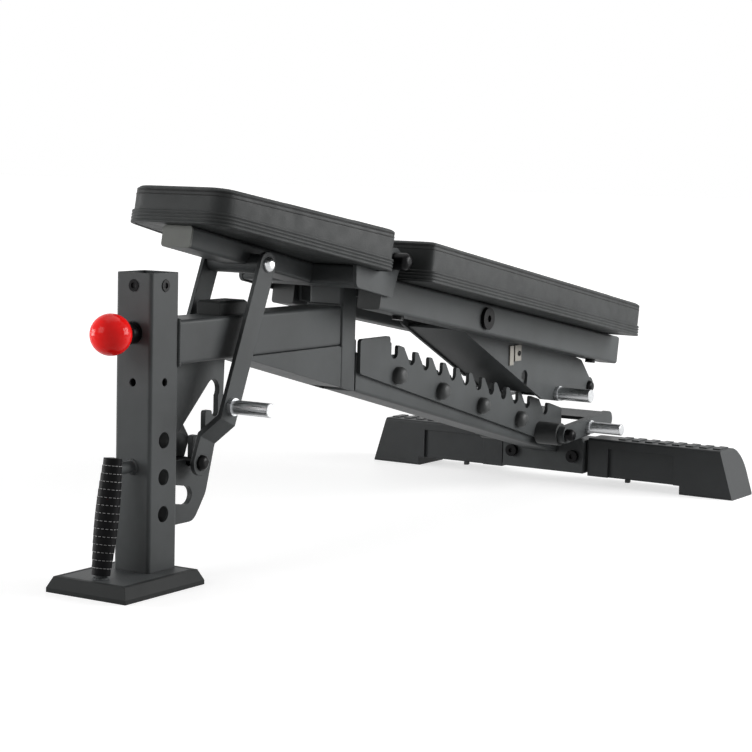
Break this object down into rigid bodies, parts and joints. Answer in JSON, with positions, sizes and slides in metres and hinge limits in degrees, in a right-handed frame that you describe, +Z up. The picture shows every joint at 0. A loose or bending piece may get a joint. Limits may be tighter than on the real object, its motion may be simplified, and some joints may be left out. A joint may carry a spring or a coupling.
{
  "type": "adjustable weight bench",
  "caption": "Adjustable training bench: tapered seat and long backrest tilt on one axle over a sloping frame with toothed racks, a front post with pull plunger and a wide rear foot.",
  "frame": {"origin": "middle of the footprint, on the floor", "axes": "+X from the foot end to the head end, +Y to the right of a person lying on it, +Z up"},
  "size_m": [1.386, 0.736, 0.5355],
  "materials": {
    "frame_paint": "fine textured powder coat",
    "black_steel": "black oxide, satin",
    "bright_steel": "turned",
    "chrome": "chromed, knurled",
    "red_knob": "gloss",
    "grip_rubber": "ribbed",
    "foot_rubber": "matt",
    "shoe_plastic": "fine grain",
    "black_plastic": "satin",
    "plywood": "raw",
    "pad_vinyl": "grained vinyl"
  },
  "bodies": {
    "frame": {"front_post": "frame_paint", "post_foot": "foot_rubber", "post_base_plate": "frame_paint", "post_set_screws": "black_steel", "plunger_housing": "black_steel", "carry_handle": "frame_paint", "carry_grip": "grip_rubber", "top_beam": "frame_paint", "seat_stop_block": "foot_rubber", "tower": "frame_paint", "front_gusset": "frame_paint", "slope_beam": "frame_paint", "seat_ladder": "frame_paint", "rack_left": "frame_paint", "rack_right": "frame_paint", "rack_bolts": "black_plastic", "end_plate": "frame_paint", "end_plate_packer": "frame_paint", "end_plate_bolts": "black_steel", "rear_cross_tube": "frame_paint", "rear_shoe_left": "shoe_plastic", "rear_shoe_right": "shoe_plastic", "pedal_bushes": "black_plastic", "pedal_pivot_bolts": "black_steel", "hinge_axle": "bright_steel", "hinge_sleeve": "bright_steel", "axle_spacers": "bright_steel", "axle_caps": "black_steel"},
    "plunger": {"plunger_pin": "bright_steel", "plunger_knob": "red_knob"},
    "seat": {"seat_tube": "frame_paint", "seat_tube_cap": "black_plastic", "seat_cross_tube": "frame_paint", "seat_ears": "frame_paint", "strut_sleeve": "frame_paint", "seat_board": "plywood", "seat_cushion": "pad_vinyl"},
    "seat_strut": {"strut_strap_left": "frame_paint", "strut_strap_right": "frame_paint", "strut_pivot_bolt": "bright_steel", "strut_cross_pin": "black_steel", "strut_pegs": "chrome"},
    "backrest": {"back_rail_left": "frame_paint", "back_rail_right": "frame_paint", "rail_end_caps": "black_plastic", "back_ears": "frame_paint", "back_cross_tubes": "frame_paint", "back_board": "plywood", "back_cushion": "pad_vinyl", "pad_bolts": "black_steel"},
    "prop": {"prop_plate_left": "frame_paint", "prop_plate_right": "frame_paint", "prop_web": "frame_paint", "prop_pivot_bolts": "black_steel", "prop_handle_rod": "chrome", "prop_end_bolts": "black_steel"},
    "pedal": {"pedal_arm_left": "frame_paint", "pedal_arm_right": "frame_paint", "pedal_deck": "frame_paint", "pedal_pegs": "chrome"}
  },
  "joints": [
    {"name": "plunger_pull", "type": "slide", "parent": "frame", "child": "plunger", "axis": [-1, 0, 0], "range_m": [0, 0.012], "stiffness_N_per_m": 700, "springref_m": -0.006},
    {"name": "seat_tilt", "type": "hinge", "parent": "frame", "child": "seat", "pos_m": [-0.112, 0, 0.427], "axis": [0, 1, 0], "range_deg": [0, 9]},
    {"name": "seat_strut_swing", "type": "hinge", "parent": "seat", "child": "seat_strut", "pos_m": [-0.365, 0, 0.4275], "axis": [0, 1, 0], "range_deg": [-8.6, 0]},
    {"name": "back_tilt", "type": "hinge", "parent": "frame", "child": "backrest", "pos_m": [-0.112, 0, 0.427], "axis": [0, -1, 0], "range_deg": [0, 58]},
    {"name": "prop_swing", "type": "hinge", "parent": "backrest", "child": "prop", "pos_m": [0.187, 0, 0.32457], "axis": [0, -1, 0], "range_deg": [-104.5, 0]},
    {"name": "pedal_lift", "type": "hinge", "parent": "frame", "child": "pedal", "pos_m": [0.507, 0, 0.1], "axis": [0, -1, 0], "range_deg": [0, 10]}
  ],
  "couplings": [
    {"joint": "seat_strut_swing", "follows": "seat_tilt", "ratio": -0.95},
    {"joint": "prop_swing", "follows": "back_tilt", "ratio": -1.8}
  ]
}
